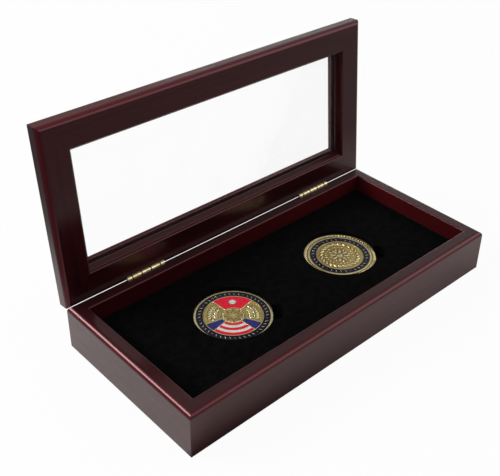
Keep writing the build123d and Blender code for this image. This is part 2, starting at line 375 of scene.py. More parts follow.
def fibreboard():
    finish = Finish("fibreboard", Specular_IOR_Level=0.3)
    spot = finish.place()
    chips = finish.noise(spot, 1.6, 4.0, 0.7)
    colour = finish.mix(finish.between(chips, 0.3, 0.7), (0.16, 0.10, 0.06), (0.28, 0.19, 0.12))
    roughness = finish.between(chips, 0.2, 0.8, 0.7, 0.9)
    normal = finish.bump(chips, 0.5, 0.1 * MM)
    return finish.feed(Base_Color=colour, Roughness=roughness, Normal=normal)


def brass(name, middle):
    """Bright brass plate, a little tarnished, with painted shade where its knuckles meet, in place of
    the fine gaps between them.
    """
    finish = Finish(name, Metallic=1.0)
    spot = finish.place()
    tarnish = finish.noise(spot, 0.35, 3.0, 0.6)
    scuffs = finish.noise(spot, 2.5, 2.0)
    place = finish.parts(spot)[0] - middle / MM + KNUCKLE * 1.5 / MM
    from_joint = place.maths("PINGPONG", KNUCKLE / 2 / MM)
    clean = finish.mix(finish.between(tarnish, 0.45, 0.8), (0.93, 0.82, 0.50), (0.66, 0.52, 0.26))
    # Painted shade where the knuckles meet, in place of the gaps between them.
    colour = finish.mix(finish.between(from_joint, 0.2, 0.55), (0.05, 0.035, 0.015), clean)
    roughness = finish.between(tarnish + scuffs * 0.3, 0.4, 1.0, 0.24, 0.40)
    normal = finish.bump(scuffs, 0.15, 0.02 * MM)
    return finish.feed(Base_Color=colour, Roughness=roughness, Normal=normal)


def antique_gold():
    """Struck coin metal: worn bright on what stands up and dark where the strike is deep."""
    finish = Finish("antique gold", Metallic=1.0)
    spot = finish.place()
    patina = finish.node("ShaderNodeAttribute", {"attribute_name": "patina"}, (), "Fac")
    rub = finish.noise(spot, 0.5, 2.0, 0.5)
    grain = finish.noise(spot, 5.0, 1.0)
    worn = finish.mix(finish.between(rub, 0.3, 0.7), (0.88, 0.76, 0.44), (0.97, 0.88, 0.58))
    plain = finish.mix(finish.between(rub, 0.3, 0.7), (0.64, 0.47, 0.15), (0.79, 0.62, 0.24))
    metal = finish.mix(finish.between(patina, 0.05, 0.35), worn, plain)
    colour = finish.mix(finish.between(patina, 0.40, 0.95), metal, (0.085, 0.055, 0.016))
    roughness = finish.between(patina + rub * 0.2, 0.0, 1.1, 0.24, 0.50)
    normal = finish.bump(grain, 0.12, 0.03 * MM)
    return finish.feed(Base_Color=colour, Roughness=roughness, Normal=normal)


def enamel(name, deep, light):
    """Soft enamel, level and glossy, a little cloudy where it pooled."""
    finish = Finish(name, Specular_IOR_Level=0.15, Coat_Weight=0.25, Coat_Roughness=0.12)
    spot = finish.place()
    cloud = finish.noise(spot, 0.7, 2.0, 0.5)
    colour = finish.mix(finish.between(cloud, 0.35, 0.65), deep, light)
    roughness = finish.between(cloud, 0.2, 0.8, 0.25, 0.4)
    normal = finish.bump(cloud, 0.15, 0.04 * MM)
    return finish.feed(Base_Color=colour, Roughness=roughness, Normal=normal)


def clear_glass():
    """Float glass: seen mostly by what it mirrors, and more so at a slant, where a pale colour also
    shows as a painted reflection.
    """
    finish = Finish("float glass", IOR=1.5, Roughness=0.02)
    spot = finish.place()
    slant = finish.node("ShaderNodeFresnel", None, {"IOR": 1.35})
    smear = finish.noise(spot, 0.05, 2.0)
    film = finish.between(smear, 0.4, 0.8, 0.0, 0.01)
    # Pale glass colour, whiter and more opaque at a slant: a painted reflection. The smear is a real
    # film on the glass.
    colour = finish.mix(slant, (0.82, 0.88, 0.86), (0.95, 0.97, 0.96))
    return finish.feed(Base_Color=colour, Alpha=0.01 + slant * 0.08 + film)


# ---- wooden rails and glazing beads ---------------------------------------------------------

SIDES = {"front": 0, "right": 1, "back": 2, "left": 3}      # quarter turns about Z


def side_reach(side):
    """Half the length of a side of the case, and how far its outer face is from the middle."""
    if side in ("front", "back"):
        return half_length, half_depth
    return half_depth, half_length


def turned_to(piece, side):
    """Turns a piece that was shaped along the front to its own side of the case."""
    piece.matrix_world = Matrix.Rotation(SIDES[side] * pi / 2, 4, "Z")
    settle(piece)


def opened(piece):
    """Swings a piece of the closed lid to where the lid rests open."""
    piece.matrix_world = lid_opened
    settle(piece)


def round_over(radius, segments, *lines):
    """Rounds the edges that run along X at each (y, z), before the ends are mitred."""
    piece = bpy.context.active_object

    def wanted(middle, along):
        on_line = any(near(middle.y, y) and near(middle.z, z) for y, z in lines)
        return abs(along.x) > 0.9 and on_line

    pick(piece, "edges", wanted)
    bpy.ops.mesh.bevel(
        offset=radius, offset_type="OFFSET", segments=segments, affect="EDGES", clamp_overlap=False
    )


def mitre(reach, outer, ease=MITRE_EASE):
    """Cuts both ends of a piece at 45 degrees and eases the cuts to a hairline."""
    piece = bpy.context.active_object
    for end in (-1, 1):
        cut_off((end * reach, -outer, 0), (end, 1, 0))

    def on_cut(middle, along):
        return abs(reach - abs(middle.x) - (middle.y + outer)) < 0.001 * MM

    pick(piece, "edges", on_cut)
    bpy.ops.mesh.bevel(offset=ease, offset_type="OFFSET", segments=1, affect="EDGES")


def smoothed(piece, degrees=40):
    """Shades a finished piece smoothly, with its flat faces kept flat."""
    make_active(piece)
    bpy.ops.object.mode_set(mode="EDIT")
    bpy.ops.mesh.select_all(action="SELECT")
    bpy.ops.mesh.remove_doubles(threshold=0.002 * MM)
    bpy.ops.mesh.normals_make_consistent(inside=False)
    bpy.ops.object.mode_set(mode="OBJECT")
    bpy.ops.object.shade_smooth_by_angle(angle=radians(degrees))
    weighted = piece.modifiers.new("flat faces", "WEIGHTED_NORMAL")
    weighted.keep_sharp = True
    bpy.ops.object.modifier_apply(modifier=weighted.name)
    return piece


FLAT = 0.985                # least share of a normal along one axis that counts as flat
FLAT_TO_ROUND = 0.1         # fall of that share over which the wood turns redder, partly as a painted highlight


def rubbed_and_highlit(piece):
    """Marks the faces between the flat ones, where the wood is painted redder: partly stain rubbed
    thin, partly a painted highlight on the rounded edges.
    """
    mesh = piece.data
    # Painted highlight and rubbed stain: the rounded faces are marked for redder wood.
    rounded = mesh.attributes.new("rounded", "FLOAT", "FACE")
    for face in mesh.polygons:
        flatness = max(abs(part) for part in face.normal)
        rounded.data[face.index].value = min(max((FLAT - flatness) / FLAT_TO_ROUND, 0), 1)
    return piece


def base_rail(side):
    """One rail of the box: rebated below for the bottom panel, rounded over at the top."""
    reach, outer = side_reach(side)
    face = -outer
    inside = face + wall
    seat = face + half_length - panel_edge - PANEL_SLACK
    piece = block(f"base_rail_{side}", (-reach, face, panel_top), (reach, inside, base_height))
    bpy.ops.object.mode_set(mode="EDIT")
    bpy.ops.mesh.select_all(action="SELECT")
    bpy.ops.mesh.bisect(plane_co=(0, seat, 0), plane_no=(0, 1, 0))
    pick(piece, "faces", lambda middle, out: out.z < -0.9 and middle.y < seat)
    bpy.ops.mesh.extrude_region_move(TRANSFORM_OT_translate={"value": (0, 0, -panel_top)})
    round_over(EDGE_ROUND, 10, (face, base_height))
    round_over(SMALL_EASE, 5, (inside, base_height), (face, 0))
    mitre(reach, outer)
    bpy.ops.object.mode_set(mode="OBJECT")
    turned_to(piece, side)
    return rubbed_and_highlit(smoothed(piece))


def lid_rail(side):
    """One rail of the lid: a flat frame with a thin lip above that the glass lies against."""
    reach, outer = side_reach(side)
    face = -outer
    edge = face + LID_RAIL
    low, top = lid_low, lid_low + LID_THICKNESS
    lip_low = top - LIP_THICKNESS
    lip_edge = edge + LIP_REACH

    def under_lip(middle, along):
        return near(middle.y, lip_edge) and near(middle.z, lip_low)

    piece = block(f"lid_rail_{side}", (-reach, face, low), (reach, edge, top))
    bpy.ops.object.mode_set(mode="EDIT")
    bpy.ops.mesh.select_all(action="SELECT")
    bpy.ops.mesh.bisect(plane_co=(0, 0, lip_low), plane_no=(0, 0, 1))
    pick(piece, "faces", lambda middle, out: out.y > 0.9 and middle.z > lip_low)
    bpy.ops.mesh.extrude_region_move(TRANSFORM_OT_translate={"value": (0, LIP_REACH, 0)})
    pick(piece, "edges", under_lip)
    bpy.ops.transform.translate(value=(0, -LIP_SLANT, 0))
    round_over(EDGE_ROUND, 10, (face, low))
    round_over(SMALL_EASE, 5, (edge, low), (face, top), (lip_edge, top))
    round_over(LIP_EASE, 3, (lip_edge - LIP_SLANT, lip_low))
    mitre(reach, outer)
    bpy.ops.object.mode_set(mode="OBJECT")
    turned_to(piece, side)
    opened(piece)
    return rubbed_and_highlit(smoothed(piece))


def glazing_bead(side):
    """One strip of the frame that holds the glass: sloped towards it, with a small toe."""
    reach, outer = side_reach(side)
    start = -outer + LID_RAIL
    end = start + BEAD_REACH
    low = lid_low + BEAD_DROP
    top = lid_low + LID_THICKNESS - LIP_THICKNESS - GLASS_THICKNESS
    piece = block(f"glass_bead_{side}", (-reach, start, low), (reach, end, top))
    bpy.ops.object.mode_set(mode="EDIT")
    rise = top - BEAD_TOE - low
    run = end - start - BEAD_TOE
    cut_off((0, start + BEAD_TOE, low), (0, rise, -run))
    round_over(BEAD_ROUND, 4, (start + BEAD_TOE, low))
    round_over(BEAD_EASE, 3, (end, top - BEAD_TOE))
    mitre(reach, outer, MITRE_EASE / 2)
    bpy.ops.object.mode_set(mode="OBJECT")
    turned_to(piece, side)
    opened(piece)
    return smoothed(piece)


# ---- velvet insert --------------------------------------------------------------------------


def tool(radius, middle, low, high, sides):
    """A round cutter, to be taken away from the insert."""
    deselect_all()
    place = (middle[0], middle[1], (low + high) / 2)
    bpy.ops.mesh.primitive_cylinder_add(
        vertices=sides, radius=radius, depth=high - low, location=place
    )
    cutter = bpy.context.active_object
    settle(cutter)
    return cutter


def take(piece, cutter, operation):
    """Applies a cutter to a piece and throws the cutter away."""
    make_active(piece)
    cut = piece.modifiers.new("cut", "BOOLEAN")
    cut.operation = operation
    cut.solver = "EXACT"
    cut.object = cutter
    bpy.ops.object.modifier_apply(modifier=cut.name)
    bpy.data.objects.remove(cutter)


def velvet_insert():
    """The padded board with its velvet: a round pocket for each coin, with a thumb notch."""
    low = (velvet_low.x, velvet_low.y, panel_top)
    high = (-velvet_low.x, -velvet_low.y, velvet_top)
    piece = block("velvet_insert", low, high)
    floor = velvet_top - POCKET_DEPTH
    above = velvet_top + 5 * MM
    for middle in coin_middles.values():
        notch = middle + Vector((cos(NOTCH_TURN), sin(NOTCH_TURN), 0)) * NOTCH_REACH
        pocket = tool(POCKET_RADIUS, middle, floor, above, 192)
        take(pocket, tool(NOTCH_RADIUS, notch, floor, above, 72), "UNION")
        take(piece, pocket, "DIFFERENCE")
    make_active(piece)
    bpy.ops.object.mode_set(mode="EDIT")

    def at_outside(middle):
        return near(abs(middle.x), -velvet_low.x) or near(abs(middle.y), -velvet_low.y)

    def pocket_rim(middle, along):
        return near(middle.z, velvet_top) and not at_outside(middle)

    def outer_rim(middle, along):
        return near(middle.z, velvet_top) and at_outside(middle)

    for rim, radius in ((pocket_rim, POCKET_ROUND), (outer_rim, VELVET_ROLL)):
        pick(piece, "edges", rim)
        bpy.ops.mesh.bevel(offset=radius, offset_type="OFFSET", segments=5, affect="EDGES")
    bpy.ops.object.mode_set(mode="OBJECT")
    return smoothed(piece)


# ---- coins ----------------------------------------------------------------------------------

STRIKE = 0.5 * MM           # depth of the cells for enamel
FIELD = 0.35 * MM           # depth of the plain fields
LINE = 0.5 * MM             # metal line between two cells
COIN_EASE = 0.25 * MM
RIM_CROWN = 0.16 * MM       # how far the plain rim falls towards its edges
LINE_CROWN = 0.14 * MM      # the same for the metal rings
WALL_RUN = 0.10 * MM        # slope of a cell's wall
HUB = 0.5 * MM              # innermost ring of the net
ORNAMENT_FOOT = -0.36 * MM  # where the ornaments in the navy rings stand
SPOKES = 576

LEFT_RIM = 1.4 * MM
LEFT_RING = 3.7 * MM
MEDALLION = 6.2 * MM
STAR_TIP = 5.2 * MM
STAR_WAIST = 2.3 * MM
RED_TURN = radians(52)
RED_SWEEP = radians(84)
STRIPE_SWEEP = radians(84)
BLUE_SWEEP = radians(24)
STRIPES = 5
STRIPE_LINE = 0.2 * MM
BADGE = 1.8 * MM            # from the middle of the badge to its corners
BADGE_SIDES = 8
LEFT_ORNAMENTS = 45
MEDALLION_BEADS = 32
STAR_RAYS = 8
SPRIG_PAIRS = 6
SPRIG_SPREAD = 1.75 * MM
SPRIG_END = 2.2 * MM
STEM_BEADS = 28

ROPE = 1.9 * MM
ROPE_GROOVE = 0.5 * MM
RIGHT_BAND = 1.4 * MM
RIGHT_RING = 3.7 * MM
ROPE_STRANDS = 72
ROPE_DROP = 0.30 * MM
RIGHT_ORNAMENTS = 35
PETALS = 8
PETAL_REACH = 4.3 * MM
SMALL_PETAL_REACH = 5.8 * MM
WREATH_LEAVES = 24
WREATH_REACH = 11.2 * MM
WREATH_BEAD_REACH = 8.4 * MM


class Strike:
    """The points, faces and patina of a coin, gathered before it becomes one mesh."""

    def __init__(self, middle):
        self.middle = middle
        self.points = []
        self.faces = []
        self.patina = []

    def add(self, points, faces, patina):
        """Adds a shape, given about the middle of the coin with z from its top."""
        first = len(self.points)
        top = np.array((self.middle.x, self.middle.y, coin_top))
        self.points += (np.asarray(points) + top).tolist()
        self.faces += [tuple(first + corner for corner in face) for face in faces]
        self.patina += list(patina)

    def stamp(self, shape, reach, angle, turn=0.0, size=1.0, height=1.0, base=0.0):
        """Adds a small raised shape at a place on the coin, turned against its radius."""
        points, faces, patina = shape
        way = angle + turn
        x = points[:, 0] * size
        y = points[:, 1] * size
        across = x * cos(way) - y * sin(way) + reach * cos(angle)
        along = x * sin(way) + y * cos(way) + reach * sin(angle)
        self.add(np.column_stack((across, along, points[:, 2] * height + base)), faces, patina)

    def turned_face(self, rings, height, floor):
        """Adds the struck face: a net of points over a height map of radius and angle."""
        angles = np.arange(SPOKES) * 2 * pi / SPOKES
        radius, angle = np.meshgrid(rings, angles, indexing="ij")
        z = height(radius, angle)
        net = np.stack((radius * np.cos(angle), radius * np.sin(angle), z), axis=-1)
        middle = [(0, 0, height(np.zeros(1), np.zeros(1))[0])]
        points = np.concatenate((net.reshape(-1, 3), middle))
        faces = ring_faces(len(rings)) + [
            (len(points) - 1, spoke, (spoke + 1) % SPOKES) for spoke in range(SPOKES)
        ]
        tone = cavities(radius, z, floor).reshape(-1).tolist() + [floor]
        self.add(points, faces, tone)

    def turned_edge(self, profile):
        """Adds the edge and the back, turned from a profile of (radius, z) pairs."""
        angles = np.arange(SPOKES) * 2 * pi / SPOKES
        points = [
            (radius * cos(angle), radius * sin(angle), z)
            for radius, z in profile
            for angle in angles
        ]
        last = len(points) - SPOKES
        faces = ring_faces(len(profile))
        faces.append(tuple(last + spoke for spoke in reversed(range(SPOKES))))
        self.add(points, faces, [0.1] * len(points))

    def piece(self, name):
        mesh = bpy.data.meshes.new(name)
        mesh.from_pydata(self.points, [], self.faces)
        tone = mesh.attributes.new("patina", "FLOAT", "POINT")
        tone.data.foreach_set("value", self.patina)
        piece = bpy.data.objects.new(name, mesh)
        bpy.context.scene.collection.objects.link(piece)
        make_active(piece)
        bpy.ops.object.mode_set(mode="EDIT")
        bpy.ops.mesh.select_all(action="SELECT")
        bpy.ops.mesh.remove_doubles(threshold=0.001 * MM)
        bpy.ops.mesh.normals_make_consistent(inside=False)
        bpy.ops.object.mode_set(mode="OBJECT")
        bpy.ops.object.shade_smooth_by_angle(angle=radians(35))
        return piece


def ring_faces(count):
    """The faces between rings of points that run outwards or over an edge."""
    faces = []
    for ring in range(count - 1):
        for spoke in range(SPOKES):
            following = (spoke + 1) % SPOKES
            inner, outer = ring * SPOKES, (ring + 1) * SPOKES
            faces.append((inner + spoke, outer + spoke, outer + following, inner + following))
    return faces


def rings_through(steps, spacing=0.26 * MM):
    """Radii that fall on both sides of every step of the relief, with others between."""
    marks = sorted({round(step + side * 0.03 * MM, 9) for step in steps for side in (-1, 1)})
    radii = []
    for start, end in zip(marks, marks[1:]):
        count = max(1, round((end - start) / spacing))
        radii += [start + (end - start) * number / count for number in range(count)]
    return np.array(radii + marks[-1:])


def dome(radius, rise, rings=3, sides=10):
    """A small round bead."""
    points = [(0, 0, rise)]
    for ring in range(1, rings + 1):
        tilt = ring / rings * pi / 2
        for side in range(sides):
            angle = 2 * pi * side / sides
            away = radius * sin(tilt)
            points.append((away * cos(angle), away * sin(angle), rise * cos(tilt)))
    for side in range(sides):
        angle = 2 * pi * side / sides
        points.append((radius * cos(angle), radius * sin(angle), -rise))
    return shell(points, rings + 1, sides)


def leaf(length, width, rise, blunt=0.75, sides=14):
    """A pointed leaf along x, with a raised rib down its middle."""
    outline = []
    for side in range(sides):
        angle = 2 * pi * side / sides
        x = cos(angle)
        y = sin(angle)
        outline.append((x * length / 2, y * abs(y) ** (blunt - 1 if y else 0) * width / 2))
    points = [(0, 0, rise)]
    for share, lift in ((0.4, 0.85), (0.75, 0.6)):
        for x, y in outline:
            ridge = (1 - abs(y) / (width / 2)) * 0.25
            points.append((x * share * 1.1, y * share, rise * (lift + ridge)))
    points += [(x, y, 0.12 * rise) for x, y in outline]
    points += [(x * 1.1, y * 1.3, 0.02 * rise) for x, y in outline]
    points += [(x * 1.1, y * 1.3, -rise) for x, y in outline]
    return shell(points, 5, sides)


def shell(points, rings, sides):
    """Closes a tip and rings of points into a small shape, darker towards its foot."""
    points = np.array(points)
    faces = [(0, 1 + side, 1 + (side + 1) % sides) for side in range(sides)]
    for ring in range(rings - 1):
        upper, lower = 1 + ring * sides, 1 + (ring + 1) * sides
        for side in range(sides):
            following = (side + 1) % sides
            faces.append((upper + side, lower + side, lower + following, upper + following))
    last = 1 + (rings - 1) * sides
    faces.append(tuple(last + side for side in reversed(range(sides))))
    height = np.clip(points[:, 2] / points[:, 2].max(), 0, 1)
    patina = np.clip(1.0 - 2.0 * height, 0, 1)
    return points, faces, patina


def star(rays, tip, waist, rise):
    """A star of facets, each ray with a ridge, in a dark outline."""
    points = [(0, 0, rise)]
    for height, grow in ((0.3 * rise, 0.9), (0.12 * rise, 1.0), (0.02 * rise, 1.15), (-rise, 1.15)):
        for number in range(2 * rays):
            radius = grow * (waist if number % 2 else tip)
            angle = pi * number / rays
            points.append((radius * cos(angle), radius * sin(angle), height))
    return shell(points, 4, 2 * rays)


def smoothstep(value):
    value = np.clip(value, 0, 1)
    return value * value * (3 - 2 * value)


def within(radius, inner, outer):
    return (radius > inner) & (radius < outer)


def polygon_reach(x, y, sides):
    """The size of the polygon about the origin that runs through each point."""
    half = pi / sides
    turn = (np.arctan2(y, x) % (2 * half)) - half
    return np.hypot(x, y) * np.cos(turn) / cos(half)


def side_of_ray(radius, angle, ray):
    """How far points lie from a ray out of the middle of the coin."""
    offset = (angle - ray + pi) % (2 * pi) - pi
    distance = radius * np.abs(np.sin(offset))
    return np.where(np.abs(offset) < pi / 2, distance, radius)


left_ring_outer = coin_radius - LEFT_RIM
left_ring_inner = left_ring_outer - LEFT_RING
cells_outer = left_ring_inner - LINE
cells_inner = MEDALLION + LINE
STRIPES_TURN = RED_TURN + pi
GOLD_SWEEP = (2 * pi - RED_SWEEP - STRIPE_SWEEP - 2 * BLUE_SWEEP) / 2
stripe_pitch = (cells_outer - cells_inner + STRIPE_LINE) / STRIPES
badge_reach = (cells_inner + cells_outer) / 2
ray_turns = [
    RED_TURN - RED_SWEEP / 2,
    RED_TURN + RED_SWEEP / 2,
    STRIPES_TURN - STRIPE_SWEEP / 2 - BLUE_SWEEP,
    STRIPES_TURN - STRIPE_SWEEP / 2,
    STRIPES_TURN + STRIPE_SWEEP / 2,
    STRIPES_TURN + STRIPE_SWEEP / 2 + BLUE_SWEEP,
]
gold_turns = [RED_TURN - (RED_SWEEP + GOLD_SWEEP) / 2, RED_TURN + (RED_SWEEP + GOLD_SWEEP) / 2]


def crowned(z, radius, inner, outer):
    """Rounds a metal ring between two radii, so that it catches the light."""
    place = (radius - (inner + outer) / 2) / ((outer - inner) / 2)
    return np.where(within(radius, inner, outer), -LINE_CROWN * place**2, z)


def cavities(radius, z, floor):
    """Patina of a struck face: bright on top, darkest at the foot of its walls."""
    slope = np.abs(np.gradient(z, axis=0)) / np.maximum(np.gradient(radius, axis=0), 1e-6)
    turn = np.abs(np.roll(z, -1, axis=1) - np.roll(z, 1, axis=1)) / (0.1 * MM)
    steep = np.clip(slope + turn, 0, 1)
    deep = np.clip(-z / FIELD, 0, 1)
    return np.clip(deep * (floor + 0.6 * steep), 0, 1)


def turn_from(angle, middle):
    return np.abs((angle - middle + pi) % (2 * pi) - pi)


def left_face(radius, angle):
    """Height of the left coin's face below its top."""
    z = np.zeros_like(radius)
    crown = (radius - (coin_radius - LEFT_RIM / 2)) / (LEFT_RIM / 2)
    z = np.where(radius > left_ring_outer, -RIM_CROWN * crown**2, z)
    z = np.where(within(radius, left_ring_inner, left_ring_outer), -STRIKE, z)
    z = crowned(z, radius, cells_outer, left_ring_inner)
    z = crowned(z, radius, MEDALLION, cells_inner)
    in_cells = within(radius, cells_inner, cells_outer)
    from_line = np.full_like(radius, 1.0)
    for ray in ray_turns:
        from_line = np.minimum(from_line, side_of_ray(radius, angle, ray))
    wall_in = smoothstep((from_line - LINE / 2) / WALL_RUN)
    gold = np.zeros_like(radius)
    for turn in gold_turns:
        gold = np.maximum(gold, turn_from(angle, turn) < GOLD_SWEEP / 2)
    floor = np.where(gold > 0, -FIELD, -STRIKE)
    z = np.where(in_cells, floor * wall_in, z)
    stripes = turn_from(angle, STRIPES_TURN) < STRIPE_SWEEP / 2
    place = (radius - cells_inner) % stripe_pitch
    on_line = place > stripe_pitch - STRIPE_LINE
    z = np.where(in_cells & stripes & on_line, 0, z)
    badge_x = radius * np.cos(angle - RED_TURN) - badge_reach
    badge_y = radius * np.sin(angle - RED_TURN)
    from_badge = polygon_reach(badge_x, badge_y, BADGE_SIDES)
    on_badge_line = within(from_badge, BADGE, BADGE + LINE)
    z = np.where(on_badge_line, 0, z)
    z = np.where(radius < MEDALLION, -FIELD - 0.05 * MM * (radius / MEDALLION) ** 2, z)
    return z


def left_coin_piece():
    steps = [left_ring_outer, left_ring_inner, cells_outer, cells_inner, MEDALLION]
    for number in range(1, STRIPES):
        edge = cells_inner + number * stripe_pitch
        steps += [edge - STRIPE_LINE, edge]
    rings = rings_through([HUB, coin_radius - COIN_EASE] + steps)
    coin = Strike(coin_middles["left"])
    coin.turned_face(rings, left_face, 0.38)
    coin.turned_edge(edge_profile(rings[-1], left_face(rings[-1:], np.zeros(1))[0]))
    ornament_ring(coin, (left_ring_inner + left_ring_outer) / 2, LEFT_ORNAMENTS)
    for number in range(MEDALLION_BEADS):
        angle = 2 * pi * number / MEDALLION_BEADS
        coin.stamp(bead_shape, MEDALLION - 0.5 * MM, angle, base=-FIELD)
    coin.stamp(star(STAR_RAYS, STAR_TIP, STAR_WAIST, 0.34 * MM), 0, RED_TURN, base=-FIELD)
    coin.stamp(dome(1.25 * MM, 0.2 * MM, 3, 20), 0, 0, base=-0.08 * MM)
    for turn in gold_turns:
        sprig(coin, turn)
    return coin.piece("left_coin_relief")


bead_shape = dome(0.42 * MM, 0.34 * MM)
mark_shape = leaf(2.1 * MM, 0.95 * MM, 0.34 * MM, 0.9, 12)
leaf_shape = leaf(3.3 * MM, 1.5 * MM, 0.42 * MM)


def ornament_ring(coin, reach, count):
    """Slanted leaves raised out of the navy ring, in fours with a bead between."""
    for number in range(count):
        angle = 2 * pi * number / count
        if number % 5 == 4:
            coin.stamp(bead_shape, reach, angle, base=ORNAMENT_FOOT)
        else:
            coin.stamp(mark_shape, reach, angle, turn=0.45, base=ORNAMENT_FOOT)


def sprig(coin, turn):
    """A laurel branch along the middle of a gold field: pairs of leaves on a bent stem."""
    reach = (cells_inner + cells_outer) / 2
    half = GOLD_SWEEP / 2 - SPRIG_END / reach
    for number in range(SPRIG_PAIRS):
        angle = turn - half + 2 * half * (number + 0.2) / SPRIG_PAIRS
        for way in (-1, 1):
            lean = pi / 2 - way * 0.75
            coin.stamp(leaf_shape, reach + way * SPRIG_SPREAD, angle, turn=lean, base=-FIELD)
    coin.stamp(leaf_shape, reach, turn + half, turn=pi / 2, base=-FIELD)
    for number in range(STEM_BEADS):
        angle = turn - half + 2 * half * number / STEM_BEADS
        coin.stamp(bead_shape, reach, angle, base=-FIELD, size=0.75, height=0.7)


def edge_profile(radius, z):
    """The edge and back of a coin as (radius, z) pairs, out from the end of its face."""
    ease = COIN_EASE
    bottom = -coin_thickness
    rounds = [
        (coin_radius - ease + ease * sin(step * pi / 8), -ease + ease * cos(step * pi / 8))
        for step in range(1, 5)
    ]
    back = [
        (coin_radius - ease + ease * cos(step * pi / 8), bottom + ease - ease * sin(step * pi / 8))
        for step in range(0, 5)
    ]
    shift = z * 0.5
    rounds = [(r, h + shift * (1 - number / 4)) for number, (r, h) in enumerate(rounds)]
    return [(radius, z)] + rounds + back


right_ring_outer = coin_radius - ROPE - ROPE_GROOVE - RIGHT_BAND
right_ring_inner = right_ring_outer - RIGHT_RING
right_field = right_ring_inner - LINE


def right_face(radius, angle):
    """Height of the right coin's face below its top."""
    z = np.zeros_like(radius)
    groove_outer = coin_radius - ROPE
    groove_inner = groove_outer - ROPE_GROOVE
    z = np.where(radius > groove_outer, -ROPE_DROP, z)
    z = np.where(within(radius, groove_inner, groove_outer), -STRIKE, z)
    z = crowned(z, radius, right_ring_outer, groove_inner)
    z = np.where(within(radius, right_ring_inner, right_ring_outer), -STRIKE, z)
    z = crowned(z, radius, right_field, right_ring_inner)
    z = np.where(radius < right_field, -FIELD, z)
    return z


def right_coin_piece():
    steps = [
        coin_radius - ROPE,
        coin_radius - ROPE - ROPE_GROOVE,
        right_ring_outer,
        right_ring_inner,
        right_field,
    ]
    rings = rings_through([HUB, coin_radius - COIN_EASE] + steps)
    coin = Strike(coin_middles["right"])
    coin.turned_face(rings, right_face, 0.34)
    coin.turned_edge(edge_profile(rings[-1], right_face(rings[-1:], np.zeros(1))[0]))
    strand = leaf(2.35 * MM, 1.05 * MM, 0.36 * MM, 0.95, 10)
    for number in range(ROPE_STRANDS):
        angle = 2 * pi * number / ROPE_STRANDS
        coin.stamp(strand, coin_radius - ROPE / 2, angle, turn=0.7, base=ORNAMENT_FOOT)
    ornament_ring(coin, (right_ring_inner + right_ring_outer) / 2, RIGHT_ORNAMENTS)
    petal = leaf(4.2 * MM, 2.2 * MM, 0.5 * MM, 1.0, 18)
    small_petal = leaf(2.6 * MM, 1.3 * MM, 0.35 * MM, 0.9, 14)
    wreath_leaf = leaf(3.8 * MM, 1.5 * MM, 0.5 * MM, 0.8, 14)
    for number in range(PETALS):
        angle = 2 * pi * number / PETALS
        coin.stamp(petal, PETAL_REACH, angle, base=-FIELD)
        coin.stamp(small_petal, SMALL_PETAL_REACH, angle + pi / PETALS, base=-FIELD)
    coin.stamp(dome(1.7 * MM, 0.45 * MM, 4, 24), 0, 0, base=-FIELD)
    for number in range(WREATH_LEAVES):
        angle = 2 * pi * number / WREATH_LEAVES
        coin.stamp(wreath_leaf, WREATH_REACH, angle, turn=radians(55), base=-FIELD)
        coin.stamp(bead_shape, WREATH_BEAD_REACH, angle + 0.08, base=-FIELD)
    return coin.piece("right_coin_relief")


# ---- the pieces, on their bodies ------------------------------------------------------------


def dressed(piece, material, body, slot, *nodes):
    """Gives a new piece its finish and its body, in place of the nodes that it stands for."""
    piece.data.materials.clear()
    piece.data.materials.append(material)
    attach(piece, body)
    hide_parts(*nodes)


for number, side in enumerate(SIDES):
    across = side in ("left", "right")
    turn = (0, 0, -pi / 2 if across else 0)
    shift = (37 * number, 61 * number, 23 * number)
    # The base rails take the redder mask with its painted light.
    wood = rosewood(f"rosewood, base {side}", turn, shift, redder_base_painted_light)
    dressed(base_rail(side), wood, "base", "rosewood", f"base_{side}_rail")
    turn = (OPEN, 0, -pi / 2 if across else 0)
    shift = (170 + 41 * number, 90 + 53 * number, 35 * number)
    # Only the lid's front rail, whose edge faces up when open, gets this painted light.
    reddening = painted_light_on_lid_edge if side == "front" else None
    wood = rosewood(f"rosewood, lid {side}", turn, shift, reddening)
    dressed(lid_rail(side), wood, "lid", "rosewood", f"lid_{side}_rail")
    shift = (11 + 29 * number, 7 + 31 * number, 5 + 13 * number)
    wood = rosewood(f"rosewood, bead {side}", turn, shift)
    dressed(glazing_bead(side), wood, "lid", "bead", f"glazing_bead_{side}")

dressed(velvet_insert(), velvet(), "base", "velvet", "velvet_cover", "insert_board")
coin_metal = antique_gold()
dressed(left_coin_piece(), coin_metal, "left_coin", "coin_metal", "left_coin")
dressed(right_coin_piece(), coin_metal, "right_coin", "coin_metal", "right_coin")

kept_nodes = {"base_panel": fibreboard(), "base_felt": felt(), "glass_pane": clear_glass()}
for side in ("left", "right"):
    low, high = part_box(f"hinge_{side}_pin")
    hinge_brass = brass(f"bright brass, {side}", (low.x + high.x) / 2)
    for part in ("base_leaf", "lid_leaf", "pin"):
        kept_nodes[f"hinge_{side}_{part}"] = hinge_brass
navy = enamel("navy enamel", (0.0030, 0.0028, 0.013), (0.0060, 0.0058, 0.026))
kept_nodes["left_coin_navy_enamel"] = navy
kept_nodes["right_coin_navy_enamel"] = navy
kept_nodes["left_coin_red_enamel"] = enamel("red enamel", (0.80, 0.005, 0.026), (0.92, 0.009, 0.044))
kept_nodes["left_coin_white_enamel"] = enamel("white enamel", (0.72, 0.72, 0.70), (0.85, 0.85, 0.83))
kept_nodes["left_coin_blue_enamel"] = enamel("blue enamel", (0.017, 0.018, 0.13), (0.028, 0.032, 0.20))
for name, material in kept_nodes.items():
    node = frame["nodes"][name]
    node.data.materials.clear()
    node.data.materials.append(material)

# ---- studio ---------------------------------------------------------------------------------


